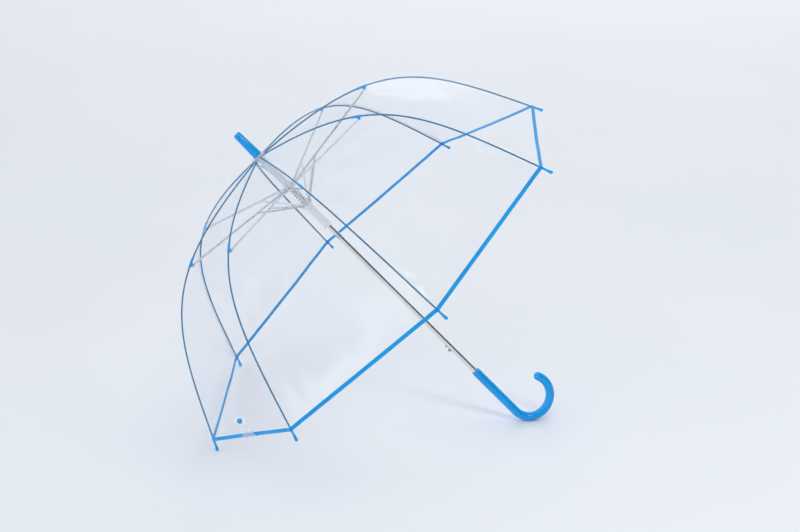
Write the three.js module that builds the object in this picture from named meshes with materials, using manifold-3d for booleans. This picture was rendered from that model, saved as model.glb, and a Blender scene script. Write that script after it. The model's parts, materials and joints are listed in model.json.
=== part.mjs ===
// A clear dome umbrella on a steel stick with a crook handle, open and resting on two rib tips and
// the crook. Millimetres. The umbrella is drawn about its own shaft: the origin is where the ribs
// hinge at the crown, +Z runs down the shaft to the handle, and the last section lays it on the floor.
import * as THREE from "three";
import { mergeVertices } from "three/addons/utils/BufferGeometryUtils.js";
import Module from "manifold-3d";

const wasm = await Module();
wasm.setup();

// ---- driving dimensions ----
const RIB_COUNT = 8;
const RIB_STEP = (2 * Math.PI) / RIB_COUNT;
const FIRST_RIB = -RIB_STEP / 2;          // azimuth of rib 1; the crook points the same way
const RIM_RADIUS = 430;
const RIM_DEPTH = 306;                    // rim below the rib hinges
const GAP = 0.3;

const SHAFT_RADIUS = 5;
const SHAFT_BORE = 4.2;
const SHAFT_TOP = -30;
const SHAFT_END = 620;
const BORE_FIT = SHAFT_RADIUS + GAP;

const RIB_RADIUS = 1.4;
const RIB_HINGE_RADIUS = 8.5;             // ring of the rib hinges in the crown
const RIB_EYE = 1.9;
const RIB_EYE_LENGTH = 15;
const RIB_EYE_THICK = 2.2;
const CLIP_AT = 0.352;                    // clip's place along the rib curve, 0 to 1
const CLIP_RADIUS = 2.2;
const CLIP_LENGTH = 18;
const CLIP_DROP = 5;                      // stretcher pivot inside the rib line
const BEND_GAP = 5.2;                     // the lower rod starts this far past the clip
const TIP_LENGTH = 19;

const HUB_AT = 77;                        // stretcher hinges below the crown, umbrella open
const RUNNER_AT = 119;                    // strut hinges below the crown, umbrella open
const RUNNER_LENGTH = 60;
const HINGE_RING = 10;                    // ring of the bars' hinges in hub and runner
const WIRE_RADIUS = 0.5;                  // hinge wires, which the grooves and eyes leave room for
const STRETCHER_SIDE = 3.5;               // stretcher plane beside the rib plane
const STRETCHER_THICK = 2;
const STRUT_SIDE = 1.15;
const STRUT_THICK = 2.1;
const BAR_HALF_DEPTH = 1.7;
const STRUT_JOINT = 66;                   // strut pivot along the stretcher

const FILM_THICK = 0.2;
const FILM_OFFSET = 3.3;                  // film stands outside the rib line
const BINDING_WIDTH = 7;
const BINDING_THICK = 0.8;

const HANDLE_TOP = 583;
const HANDLE_RADIUS = 8.3;
const HOOK_START = 700;
const HOOK_RADIUS = 40.6;
const HOOK_SWEEP = THREE.MathUtils.degToRad(203);

const CATCH_AT = 507;
const CATCH_SIDE = FIRST_RIB + Math.PI;

// ---- materials ----
function material(color, roughness, metalness, opacity = 1) {
  return new THREE.MeshStandardMaterial({
    color, roughness, metalness, opacity, transparent: opacity < 1, side: THREE.DoubleSide,
  });
}
const bluePlastic = material(0x0a8fe6, 0.35, 0);
const milkyPlastic = material(0xd8e6f2, 0.4, 0, 0.6);
const steel = material(0xb9bec4, 0.3, 0.9);
const clearFilm = material(0xf2f8ff, 0.08, 0, 0.18);

// ---- solids ----
// a copy with bare positions, so that points in the same place can merge
function stripped(geometry) {
  const bare = geometry.index ? geometry.toNonIndexed() : geometry.clone();
  bare.deleteAttribute("normal");
  bare.deleteAttribute("uv");
  return bare;
}

function toManifold(geometry) {
  const merged = mergeVertices(stripped(geometry), 1e-4);
  return new wasm.Manifold(new wasm.Mesh({
    numProp: 3,
    vertProperties: merged.attributes.position.array,
    triVerts: Uint32Array.from(merged.index.array),
  }));
}

function toGeometry(solid) {
  const mesh = solid.getMesh();
  const geometry = new THREE.BufferGeometry();
  geometry.setAttribute("position", new THREE.BufferAttribute(mesh.vertProperties, 3));
  geometry.setIndex(new THREE.BufferAttribute(mesh.triVerts, 1));
  return geometry;
}

function join(...geometries) {
  return toGeometry(geometries.map(toManifold).reduce((a, b) => a.add(b)));
}

function cut(body, ...tools) {
  return toGeometry(tools.map(toManifold).reduce((a, b) => a.subtract(b), toManifold(body)));
}

// a turned piece about the shaft; the points are [radius, depth] and close on themselves
function turned(points, segments) {
  const profile = [...points, points[0]].map(([r, z]) => new THREE.Vector2(r, z));
  const geometry = new THREE.LatheGeometry(profile, segments);
  geometry.rotateX(Math.PI / 2);
  return outward(geometry);
}

// turn a closed mesh's faces out when its signed volume is negative
function outward(geometry) {
  const flat = mergeVertices(stripped(geometry), 1e-4);
  const p = flat.attributes.position;
  const index = flat.index.array;
  const [a, b, c] = [new THREE.Vector3(), new THREE.Vector3(), new THREE.Vector3()];
  let volume = 0;
  for (let i = 0; i < index.length; i += 3) {
    a.fromBufferAttribute(p, index[i]);
    b.fromBufferAttribute(p, index[i + 1]);
    c.fromBufferAttribute(p, index[i + 2]);
    volume += a.dot(b.cross(c));
  }
  if (volume < 0) {
    for (let i = 0; i < index.length; i += 3) {
      [index[i + 1], index[i + 2]] = [index[i + 2], index[i + 1]];
    }
  }
  return flat;
}

// a round rod along a curve
function rod(curve, radius, steps, sides) {
  const section = new THREE.Shape();
  for (let i = 0; i < sides; i += 1) {
    const angle = (i / sides) * 2 * Math.PI;
    const [x, y] = [radius * Math.cos(angle), radius * Math.sin(angle)];
    if (i === 0) section.moveTo(x, y);
    else section.lineTo(x, y);
  }
  section.closePath();
  return outward(new THREE.ExtrudeGeometry(section, { steps, extrudePath: curve, bevelEnabled: false }));
}

// a flat bar with round ends between two points of the rib plane, with a hole at its first end
function eyeBar(from, to, halfDepth, thick, side, hole) {
  const along = to.clone().sub(from);
  const length = along.length();
  const shape = new THREE.Shape();
  shape.absarc(0, 0, halfDepth, Math.PI / 2, 1.5 * Math.PI, false);
  shape.absarc(length, 0, halfDepth, 1.5 * Math.PI, 2.5 * Math.PI, false);
  shape.closePath();
  if (hole > 0) {
    const eye = new THREE.Path();
    eye.absarc(0, 0, hole, 0, 2 * Math.PI, true);
    shape.holes.push(eye);
  }
  const bar = new THREE.ExtrudeGeometry(shape, { depth: thick, bevelEnabled: false, curveSegments: 4 });
  bar.translate(0, 0, -thick / 2);
  bar.rotateX(Math.PI / 2);
  bar.rotateY(-Math.atan2(along.y, along.x));
  bar.translate(from.x, side, from.y);
  return bar;
}

// ---- the rib line, in [radius, depth] ----
const ribLine = new THREE.CubicBezierCurve(
  new THREE.Vector2(RIB_HINGE_RADIUS, 0),
  new THREE.Vector2(285, 22),
  new THREE.Vector2(325, 94),
  new THREE.Vector2(RIM_RADIUS, RIM_DEPTH),
);

// the length that a change of 1 in t spans at t
function reachAt(t) {
  const step = 1e-4;
  return ribLine.getPoint(t).distanceTo(ribLine.getPoint(t - step)) / step;
}
const CLIP_REACH = reachAt(CLIP_AT);
const RIM_REACH = reachAt(1);

const CLIP = ribLine.getPoint(CLIP_AT);
const CLIP_TANGENT = ribLine.getTangent(CLIP_AT);
const CLIP_PIVOT = new THREE.Vector2(
  CLIP.x - CLIP_DROP * CLIP_TANGENT.y,
  CLIP.y + CLIP_DROP * CLIP_TANGENT.x,
);
const stretcherRadius = Math.sqrt(HINGE_RING ** 2 - STRETCHER_SIDE ** 2);
const HUB_PIVOT = new THREE.Vector2(stretcherRadius, HUB_AT);
const strutRadius = Math.sqrt(HINGE_RING ** 2 - STRUT_SIDE ** 2);
const RUNNER_PIVOT = new THREE.Vector2(strutRadius, RUNNER_AT);
const STRUT_PIVOT = CLIP_PIVOT.clone().sub(HUB_PIVOT).setLength(STRUT_JOINT).add(HUB_PIVOT);

class RibStretch extends THREE.Curve {
  constructor(start, end) {
    super();
    this.start = start;
    this.end = end;
  }

  getPoint(t, target = new THREE.Vector3()) {
    const p = ribLine.getPoint(THREE.MathUtils.lerp(this.start, this.end, t));
    return target.set(p.x, 0, p.y);
  }
}

function ribPoint3(t) {
  const p = ribLine.getPoint(t);
  return new THREE.Vector3(p.x, 0, p.y);
}

// a piece turned about +Z, set on the rib line's tangent at t
function onRib(geometry, t) {
  const tangent = ribLine.getTangent(t);
  geometry.rotateY(Math.atan2(tangent.x, tangent.y));
  const p = ribPoint3(t);
  geometry.translate(p.x, p.y, p.z);
  return geometry;
}

// ---- the group: everything hangs from it ----
const umbrella = new THREE.Group();

function add(name, geometry, surface, azimuth = 0) {
  const mesh = new THREE.Mesh(geometry, surface);
  mesh.name = name;
  mesh.rotation.z = azimuth;
  umbrella.add(mesh);
}

// ---- stick, handle and ferrule ----
const SLOT_WIDTH = 3;
const CATCH_LENGTH = 22;

function shaftGeometry() {
  const tube = turned([
    [SHAFT_BORE, SHAFT_TOP], [SHAFT_RADIUS, SHAFT_TOP], [SHAFT_RADIUS, SHAFT_END], [SHAFT_BORE, SHAFT_END],
  ], 24);
  const slot = new THREE.BoxGeometry(SHAFT_RADIUS * 2, SLOT_WIDTH, CATCH_LENGTH);
  slot.translate(SHAFT_RADIUS, 0, CATCH_AT + 4);
  slot.rotateZ(CATCH_SIDE);
  return cut(tube, slot);
}
add("shaft", shaftGeometry(), steel);

class Crook extends THREE.Curve {
  getPoint(t, target = new THREE.Vector3()) {
    const straight = HOOK_START - HANDLE_TOP;
    const run = t * (straight + HOOK_RADIUS * HOOK_SWEEP);
    if (run < straight) return target.set(0, 0, HANDLE_TOP + run);
    const angle = (run - straight) / HOOK_RADIUS;
    return target.set(
      HOOK_RADIUS * (1 - Math.cos(angle)), 0, HOOK_START + HOOK_RADIUS * Math.sin(angle),
    );
  }
}

function handleGeometry() {
  const crook = new Crook();
  const end = new THREE.SphereGeometry(HANDLE_RADIUS, 12, 6);
  end.translate(...crook.getPoint(1).toArray());
  const socket = new THREE.CylinderGeometry(BORE_FIT, BORE_FIT, 2 * (SHAFT_END - HANDLE_TOP) + 1, 16);
  socket.rotateX(Math.PI / 2);
  socket.translate(0, 0, HANDLE_TOP);
  return cut(join(rod(crook, HANDLE_RADIUS, 28, 12), end), socket);
}
add("handle", handleGeometry(), bluePlastic, FIRST_RIB);

const FERRULE_TIP = -60;
const FERRULE_BASE = -5;
const FERRULE_TIP_RADIUS = 7;
const FERRULE_BASE_RADIUS = 8.8;

function ferruleGeometry() {
  const round = 2.5;
  const outer = [
    [0, SHAFT_TOP - 0.5], [0, FERRULE_TIP], [FERRULE_TIP_RADIUS - round, FERRULE_TIP],
    [FERRULE_TIP_RADIUS, FERRULE_TIP + round], [FERRULE_BASE_RADIUS, FERRULE_BASE],
    [BORE_FIT, FERRULE_BASE], [BORE_FIT, SHAFT_TOP - 0.5],
  ];
  return turned(outer, 24);
}
add("ferrule", ferruleGeometry(), bluePlastic);

// ---- crown: notched disc with a groove for the ribs' hinge wire, and the cap over the film ----
const CROWN_TOP = -3;
const CROWN_RADIUS = 10.8;
const CROWN_END = 8;
const CROWN_SLOT_FLOOR = 6.4;

// a disc with a wire groove round it and one slot for each bar
function notched(points, slotFloor, slotWidth, side, top, bottom) {
  const slots = [];
  const reach = 10;
  for (let k = 0; k < RIB_COUNT; k += 1) {
    const slot = new THREE.BoxGeometry(reach, slotWidth, bottom - top);
    slot.translate(slotFloor + reach / 2, side, (top + bottom) / 2);
    slot.rotateZ(FIRST_RIB + k * RIB_STEP);
    slots.push(slot);
  }
  return cut(turned(points, 24), ...slots);
}

function discProfile(at, halfHeight, radius, ring) {
  const groove = WIRE_RADIUS + GAP;
  const floor = ring - groove;
  return [
    [radius, at - halfHeight], [radius, at - groove], [floor, at - groove],
    [floor, at + groove], [radius, at + groove], [radius, at + halfHeight],
  ];
}

add("crown_notch", notched([
  [BORE_FIT, CROWN_TOP],
  ...discProfile(0, 3, CROWN_RADIUS, RIB_HINGE_RADIUS),
  [7, 4], [7, CROWN_END], [BORE_FIT, CROWN_END],
], CROWN_SLOT_FLOOR, RIB_EYE_THICK + 2 * GAP, 0, CROWN_TOP - 1, CROWN_END - 0.5), milkyPlastic);
add("crown_cap", turned([
  [BORE_FIT, -4.7], [9.4, -4.7], [9.4, -4], [BORE_FIT, -4],
], 24), bluePlastic);

// ---- hub: the upper slider with a long neck that stops against the crown ----
const HUB_RADIUS = 12.4;
const HUB_SLOT_FLOOR = 6.6;
const RUNNER_SLOT_FLOOR = 7.2;
// each slot is wide enough for the stretcher and for the strut, which folds up beside it
const hubSlotFrom = STRUT_SIDE - STRUT_THICK / 2 - GAP;
const hubSlotTo = STRETCHER_SIDE + STRETCHER_THICK / 2 + GAP;

const hubProfile = [
  [BORE_FIT, CROWN_END + GAP], [6.9, CROWN_END + GAP], [6.9, HUB_AT - 9], [HUB_RADIUS - 2, HUB_AT - 4],
  ...discProfile(HUB_AT, 4, HUB_RADIUS, HINGE_RING),
  [BORE_FIT, HUB_AT + 4],
];
add("hub", notched(
  hubProfile, HUB_SLOT_FLOOR, hubSlotTo - hubSlotFrom, (hubSlotFrom + hubSlotTo) / 2,
  HUB_AT - 9.5, HUB_AT + 5,
), milkyPlastic);

// ---- runner: the lower slider, a long sleeve with a window that the catch locks into ----
const RUNNER_RADIUS = 12;
const SLEEVE_RADIUS = 7.9;
const WINDOW_AT = 53.2;                   // window's middle below the strut hinges
const WINDOW_LENGTH = 7.6;

function runnerGeometry() {
  const sleeve = notched([
    [BORE_FIT, RUNNER_AT - 4],
    ...discProfile(RUNNER_AT, 4, RUNNER_RADIUS, HINGE_RING),
    [SLEEVE_RADIUS + 1, RUNNER_AT + 6], [SLEEVE_RADIUS, RUNNER_AT + 12],
    [SLEEVE_RADIUS, RUNNER_AT + RUNNER_LENGTH - 3], [SLEEVE_RADIUS + 0.8, RUNNER_AT + RUNNER_LENGTH - 2],
    [SLEEVE_RADIUS + 0.8, RUNNER_AT + RUNNER_LENGTH], [BORE_FIT, RUNNER_AT + RUNNER_LENGTH],
  ], RUNNER_SLOT_FLOOR, STRUT_THICK + 2 * GAP, STRUT_SIDE, RUNNER_AT - 5, RUNNER_AT + 5);
  const window = new THREE.BoxGeometry(8, SLOT_WIDTH + 0.6, WINDOW_LENGTH);
  window.translate(SHAFT_RADIUS + 4, 0, RUNNER_AT + WINDOW_AT);
  window.rotateZ(CATCH_SIDE);
  return cut(sleeve, window);
}
add("runner", runnerGeometry(), milkyPlastic);

// ---- opening spring round the shaft, between hub and runner ----
class Helix extends THREE.Curve {
  constructor(radius, start, end, turns) {
    super();
    Object.assign(this, { radius, start, end, turns });
  }

  getPoint(t, target = new THREE.Vector3()) {
    const angle = t * this.turns * 2 * Math.PI;
    const z = THREE.MathUtils.lerp(this.start, this.end, t);
    return target.set(this.radius * Math.cos(angle), this.radius * Math.sin(angle), z);
  }
}
const SPRING_TURNS = 6;
const springCoil = new Helix(6.4, HUB_AT + 5, RUNNER_AT - 5, SPRING_TURNS);
add("opening_spring", rod(springCoil, 0.55, SPRING_TURNS * 9, 4), steel);

// ---- catch: a leaf inside the shaft with a hook and a thumb stud through the slot ----
function catchGeometry() {
  const leafRadius = 3.2;
  const outline = new THREE.Shape();
  outline.moveTo(leafRadius - 0.9, CATCH_AT - 30);
  outline.lineTo(leafRadius, CATCH_AT - 30);
  outline.lineTo(leafRadius, CATCH_AT - 5);
  outline.lineTo(7.2, CATCH_AT - 1.5);
  outline.lineTo(7.2, CATCH_AT + 1);
  outline.lineTo(leafRadius + 0.6, CATCH_AT + 1.4);
  outline.lineTo(leafRadius + 0.6, CATCH_AT + 6.8);
  outline.lineTo(8.6, CATCH_AT + 7);
  outline.lineTo(8.9, CATCH_AT + 9.4);
  outline.lineTo(8.2, CATCH_AT + 12);
  outline.lineTo(leafRadius, CATCH_AT + 13);
  outline.lineTo(leafRadius, CATCH_AT + 40);
  outline.lineTo(leafRadius - 0.9, CATCH_AT + 40);
  outline.closePath();
  const leaf = new THREE.ExtrudeGeometry(outline, { depth: 2.2, bevelEnabled: false });
  leaf.translate(0, 0, -1.1);
  leaf.rotateX(Math.PI / 2);
  return outward(leaf);
}
add("catch", catchGeometry(), steel, CATCH_SIDE);

// ---- one rib: upper rod with its clip, lower rod with its tip, stretcher and strut ----
function upperRibGeometry() {
  const eyeEnd = new THREE.Vector2(RIB_EYE_LENGTH, ribLine.getPoint(0.008).y);
  const eye = eyeBar(ribLine.getPoint(0), eyeEnd, RIB_EYE, RIB_EYE_THICK, 0, WIRE_RADIUS + GAP);
  const line = rod(new RibStretch(0.006, CLIP_AT - 0.004), RIB_RADIUS, 8, 6);
  const sleeve = turned([
    [0, -CLIP_LENGTH + 2], [CLIP_RADIUS - 0.5, -CLIP_LENGTH + 2], [CLIP_RADIUS, -CLIP_LENGTH + 4],
    [CLIP_RADIUS, 0], [CLIP_RADIUS - 0.7, 1.6], [0, 2.2],
  ], 8);
  const tab = eyeBar(CLIP.clone().lerp(CLIP_PIVOT, 0.2), CLIP_PIVOT, 2.4, 2, 0, 0);
  return join(eye, line, onRib(sleeve, CLIP_AT), tab);
}

function lowerRibGeometry() {
  const line = rod(new RibStretch(CLIP_AT + BEND_GAP / CLIP_REACH, 1), RIB_RADIUS, 12, 6);
  const tip = turned([
    [0, -4], [RIB_RADIUS + 0.5, -4], [RIB_RADIUS + 0.6, 2], [2.7, TIP_LENGTH - 5],
    [3, TIP_LENGTH - 3], [2.4, TIP_LENGTH - 0.8], [0, TIP_LENGTH],
  ], 8);
  return join(line, onRib(tip, 1));
}

const upperRib = upperRibGeometry();
const lowerRib = lowerRibGeometry();
const stretcher = eyeBar(
  HUB_PIVOT, CLIP_PIVOT, BAR_HALF_DEPTH + 0.3, STRETCHER_THICK, STRETCHER_SIDE, 1.15,
);
const strut = eyeBar(RUNNER_PIVOT, STRUT_PIVOT, BAR_HALF_DEPTH, STRUT_THICK, STRUT_SIDE, 0.95);

for (let k = 0; k < RIB_COUNT; k += 1) {
  const azimuth = FIRST_RIB + k * RIB_STEP;
  add(`rib_upper_${k + 1}`, upperRib, bluePlastic, azimuth);
  add(`rib_lower_${k + 1}`, lowerRib, bluePlastic, azimuth);
  add(`stretcher_${k + 1}`, stretcher, steel, azimuth);
  add(`strut_${k + 1}`, strut, steel, azimuth);
}

// ---- canopy: eight film gores, each flat across from rib to rib and cut at the clips, where it folds;
// the side panels carry the rim binding ----
const FILM_STEPS = 20;

function filmLine(t) {
  const p = ribLine.getPoint(t);
  const tangent = ribLine.getTangent(t);
  return new THREE.Vector2(p.x + FILM_OFFSET * tangent.y, p.y - FILM_OFFSET * tangent.x);
}

// a sheet along a profile of points with their thickness, from azimuth -half to +half, closed all round
function sheetSolid(profile, half, edgeGap) {
  const corners = profile.map(({ p, thick }, i) => {
    const before = profile[Math.max(i - 1, 0)].p;
    const after = profile[Math.min(i + 1, profile.length - 1)].p;
    const tangent = after.clone().sub(before).normalize();
    const across = new THREE.Vector2(tangent.y, -tangent.x).multiplyScalar(thick / 2);
    return [p.clone().add(across), p.clone().sub(across)];
  });
  const positions = [];
  for (const pair of corners) {
    for (const edge of pair) {
      for (const side of [-1, 1]) {
        const x = edge.x * Math.cos(half);
        positions.push(x, side * (edge.x * Math.sin(half) - edgeGap), edge.y);
      }
    }
  }
  const index = [];
  const quad = (a, b, c, d) => index.push(a, b, c, a, c, d);
  for (let i = 0; i < corners.length - 1; i += 1) {
    const [a, b] = [4 * i, 4 * i + 4];
    quad(a, a + 1, b + 1, b);
    quad(a + 2, b + 2, b + 3, a + 3);
    quad(a, b, b + 2, a + 2);
    quad(a + 1, a + 3, b + 3, b + 1);
  }
  const last = 4 * (corners.length - 1);
  quad(0, 2, 3, 1);
  quad(last, last + 1, last + 3, last + 2);
  const geometry = new THREE.BufferGeometry();
  geometry.setAttribute("position", new THREE.Float32BufferAttribute(positions, 3));
  geometry.setIndex(index);
  return outward(geometry);
}

function filmStretch(start, end, steps, thick) {
  const points = [];
  for (let i = 0; i <= steps; i += 1) {
    points.push({ p: filmLine(THREE.MathUtils.lerp(start, end, i / steps)), thick });
  }
  return points;
}

function topPanelGeometry() {
  const overCrown = CROWN_TOP - GAP - FILM_THICK / 2;
  const profile = [
    { p: new THREE.Vector2(6.6, overCrown), thick: FILM_THICK },
    { p: new THREE.Vector2(CROWN_RADIUS + 1.6, overCrown), thick: FILM_THICK },
    ...filmStretch(0.05, CLIP_AT, FILM_STEPS / 2, FILM_THICK),
  ];
  return sheetSolid(profile, RIB_STEP / 2, GAP / 2);
}

function sidePanelGeometry() {
  const bindingStart = 1 - BINDING_WIDTH / RIM_REACH;
  const profile = [
    ...filmStretch(CLIP_AT + GAP / CLIP_REACH, bindingStart - 0.002, FILM_STEPS / 2 + 2, FILM_THICK),
    ...filmStretch(bindingStart, 1, 1, BINDING_THICK),
  ];
  return sheetSolid(profile, RIB_STEP / 2, GAP / 2);
}

const topPanel = topPanelGeometry();
const sidePanel = sidePanelGeometry();
for (let k = 0; k < RIB_COUNT; k += 1) {
  const azimuth = FIRST_RIB + (k + 0.5) * RIB_STEP;
  add(`canopy_top_${k + 1}`, topPanel, clearFilm, azimuth);
  add(`canopy_side_${k + 1}`, sidePanel, clearFilm, azimuth);
}

// ---- closing strap on the gore between ribs 4 and 5, folded up over the binding, with its snap ----
const STRAP_WIDTH = 22;
const STRAP_BASE = 57;                    // it flares where it is sewn into the binding
const STRAP_LENGTH = 44;
const STRAP_THICK = 0.5;
const STRAP_GORE = FIRST_RIB + 3.5 * RIB_STEP;
const STRAP_SHIFT = 7;                    // toward rib 5
const SNAP_RISE = 34;                     // snap above the rim
const STRAP_STAND = BINDING_THICK / 2 + STRAP_THICK / 2 + 2 * GAP;

function onGore(geometry, rise, stand) {
  const t = 1 - rise / RIM_REACH;
  const p = filmLine(t);
  const tangent = ribLine.getTangent(t);
  const flat = Math.atan2(tangent.x * Math.cos(RIB_STEP / 2), tangent.y);
  geometry.rotateY(flat);
  geometry.translate(
    p.x * Math.cos(RIB_STEP / 2) + stand * Math.cos(flat), STRAP_SHIFT, p.y - stand * Math.sin(flat),
  );
  return geometry;
}

function strapGeometry() {
  const outline = new THREE.Shape();
  const [base, width, half] = [STRAP_BASE / 2, STRAP_WIDTH / 2, STRAP_LENGTH / 2];
  outline.moveTo(-base, half);
  outline.lineTo(base, half);
  outline.lineTo(width + 4, half - 9);
  outline.lineTo(width, half - 18);
  outline.lineTo(width, -half);
  outline.lineTo(-width, -half);
  outline.lineTo(-width, half - 18);
  outline.lineTo(-width - 4, half - 9);
  outline.closePath();
  const strap = new THREE.ExtrudeGeometry(outline, { depth: STRAP_THICK, bevelEnabled: false });
  strap.translate(0, 0, -STRAP_THICK / 2);
  const [x, y, z] = [new THREE.Vector3(1, 0, 0), new THREE.Vector3(0, 1, 0), new THREE.Vector3(0, 0, 1)];
  return strap.applyMatrix4(new THREE.Matrix4().makeBasis(y, z, x));
}
add("closing_strap", onGore(strapGeometry(), STRAP_LENGTH / 2 + 1, STRAP_STAND), clearFilm, STRAP_GORE);

function snapDisc(radius, height) {
  const half = height / 2;
  const outline = [[0, -half], [radius, -half], [radius, half / 2], [radius - 0.8, half], [0, half]];
  const disc = turned(outline, 16);
  return disc.rotateY(Math.PI / 2);
}
add("snap_cap", onGore(snapDisc(5, 1.8), SNAP_RISE, STRAP_STAND + 1.6), bluePlastic, STRAP_GORE);
add("snap_stud", onGore(snapDisc(4.4, 1.6), SNAP_RISE, -2.1), bluePlastic, STRAP_GORE);

// ---- laid on the floor: it rests on the tips of ribs 5 and 6 and on the crook ----
function restingTilt() {
  const tip = ribPoint3(1);
  const tangent = ribLine.getTangent(1);
  const reach = TIP_LENGTH - 3;
  const tipRadius = tip.x + reach * tangent.x;
  const tipDepth = tip.z + reach * tangent.y;
  const side = Math.cos(RIB_STEP / 2);
  const unevenness = (tilt) => {
    const [sin, cos] = [Math.sin(tilt), Math.cos(tilt)];
    const tipDrop = cos * tipDepth + sin * tipRadius * side + 3;
    const hookDrop = cos * HOOK_START - sin * side * HOOK_RADIUS
      + HOOK_RADIUS * Math.hypot(cos, sin * side) + HANDLE_RADIUS;
    return tipDrop - hookDrop;
  };
  let [low, high] = [0, Math.PI / 2];
  for (let i = 0; i < 50; i += 1) {
    const middle = (low + high) / 2;
    if (unevenness(middle) < 0) low = middle;
    else high = middle;
  }
  return low;
}

const tilt = restingTilt();
const shaftDown = new THREE.Vector3(Math.sin(tilt), 0, -Math.cos(tilt));
const hubFace = new THREE.Vector3(Math.cos(tilt), 0, Math.sin(tilt));
const sideways = new THREE.Vector3(0, -1, 0);
umbrella.quaternion.setFromRotationMatrix(new THREE.Matrix4().makeBasis(hubFace, sideways, shaftDown));
umbrella.updateMatrixWorld(true);
const bounds = new THREE.Box3().setFromObject(umbrella, true);
const middle = bounds.getCenter(new THREE.Vector3());
umbrella.position.set(-middle.x, -middle.y, -bounds.min.z);

const scene = new THREE.Group();
scene.add(umbrella);
export default scene;
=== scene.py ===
"""The looks of a clear dome umbrella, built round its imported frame: film, binding, ribs, linkage, stick,
handle and fittings. Metres, in the row frame. Depths run down the shaft from the rib hinges."""
import json
import math
import random

import bpy
import bmesh
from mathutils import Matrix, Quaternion, Vector, noise


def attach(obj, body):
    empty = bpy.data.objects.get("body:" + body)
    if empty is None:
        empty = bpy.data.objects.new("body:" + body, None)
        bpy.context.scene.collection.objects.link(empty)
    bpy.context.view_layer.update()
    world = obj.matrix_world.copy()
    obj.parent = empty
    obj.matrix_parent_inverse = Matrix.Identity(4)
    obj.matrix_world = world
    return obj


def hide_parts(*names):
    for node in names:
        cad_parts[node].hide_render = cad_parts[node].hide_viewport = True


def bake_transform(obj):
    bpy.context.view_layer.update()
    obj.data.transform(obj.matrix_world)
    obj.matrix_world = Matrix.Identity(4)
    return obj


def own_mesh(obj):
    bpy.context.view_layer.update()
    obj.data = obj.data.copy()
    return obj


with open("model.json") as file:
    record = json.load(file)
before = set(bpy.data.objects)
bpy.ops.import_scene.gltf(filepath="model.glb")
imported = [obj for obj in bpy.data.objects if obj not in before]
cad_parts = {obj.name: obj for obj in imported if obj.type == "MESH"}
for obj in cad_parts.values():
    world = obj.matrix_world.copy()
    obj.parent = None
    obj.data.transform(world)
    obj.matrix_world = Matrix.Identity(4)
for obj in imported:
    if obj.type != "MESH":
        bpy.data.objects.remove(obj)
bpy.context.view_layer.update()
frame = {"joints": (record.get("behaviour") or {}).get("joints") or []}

# ---- driving dimensions, as in the CAD model ----
MM = 0.001
RIBS = 8
STEP = 2 * math.pi / RIBS
HALF = STEP / 2
COS_HALF = math.cos(HALF)
SIN_HALF = math.sin(HALF)
RIB_LINE = [(8.5, 0), (285, 22), (325, 94), (430, 306)]
CLIP_AT = 0.352
CLIP_DROP = 5.0
CROWN_TOP = -3.0
HINGE_RING = 10.0
STRETCHER_SIDE = 3.5
STRUT_SIDE = 1.15
STRUT_JOINT = 66.0
HUB_AT = 77.0
RUNNER_AT = 119.0
RUNNER_LENGTH = 60.0
SHAFT_RADIUS = 5.0
SHAFT_TOP = -30.0
SHAFT_END = 620.0
HANDLE_TOP = 583.0
HANDLE_RADIUS = 8.3
HOOK_START = 700.0
HOOK_RADIUS = 40.6
HOOK_SWEEP = math.radians(203)
CATCH_AT = 507.0

# ---- the umbrella's own axes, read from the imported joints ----
joints = {j["name"]: j for j in frame["joints"]}
down = Vector(joints["runner_slide"]["axis"]).normalized()
hinges = [Vector(joints[f"rib_fold_{k}"]["pos_m"]) for k in range(1, RIBS + 1)]
crown = sum(hinges, Vector()) / RIBS
toward_rib_1 = (hinges[0] - crown).normalized()
across_rib_1 = down.cross(toward_rib_1)


def out(azimuth):
    """The direction away from the shaft; azimuth 0 is rib 1."""
    return toward_rib_1 * math.cos(azimuth) + across_rib_1 * math.sin(azimuth)


def rib_azimuth(k):
    return (k - 1) * STEP


def gore_azimuth(k):
    return (k - 0.5) * STEP


def at(azimuth, radius, depth, side=0.0):
    """The point at that radius, depth and sideways shift, all in millimetres."""
    return crown + (out(azimuth) * radius + out(azimuth + math.pi / 2) * side + down * depth) * MM


# ---- the rib line ----
def rib_point(t):
    u = 1 - t
    w = (u ** 3, 3 * t * u * u, 3 * t * t * u, t ** 3)
    return tuple(sum(w[i] * RIB_LINE[i][a] for i in range(4)) for a in (0, 1))


def rib_tangent(t):
    u = 1 - t
    w = (3 * u * u, 6 * t * u, 3 * t * t)
    d = [sum(w[i] * (RIB_LINE[i + 1][a] - RIB_LINE[i][a]) for i in range(3)) for a in (0, 1)]
    length = math.hypot(*d)
    return d[0] / length, d[1] / length


CLIP = rib_point(CLIP_AT)
CLIP_TANGENT = rib_tangent(CLIP_AT)
CLIP_PIVOT = (CLIP[0] - CLIP_DROP * CLIP_TANGENT[1], CLIP[1] + CLIP_DROP * CLIP_TANGENT[0])
HUB_PIVOT = (math.sqrt(HINGE_RING ** 2 - STRETCHER_SIDE ** 2), HUB_AT)
RUNNER_PIVOT = (math.sqrt(HINGE_RING ** 2 - STRUT_SIDE ** 2), RUNNER_AT)
STRETCHER_LENGTH = math.dist(HUB_PIVOT, CLIP_PIVOT)
STRUT_PIVOT = tuple(
    HUB_PIVOT[a] + (CLIP_PIVOT[a] - HUB_PIVOT[a]) * STRUT_JOINT / STRETCHER_LENGTH for a in (0, 1)
)


# ---- materials ----
def new_material(name):
    made = bpy.data.materials.new(name)
    made.use_nodes = True
    tree = made.node_tree
    return made, tree, tree.nodes["Principled BSDF"]


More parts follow.
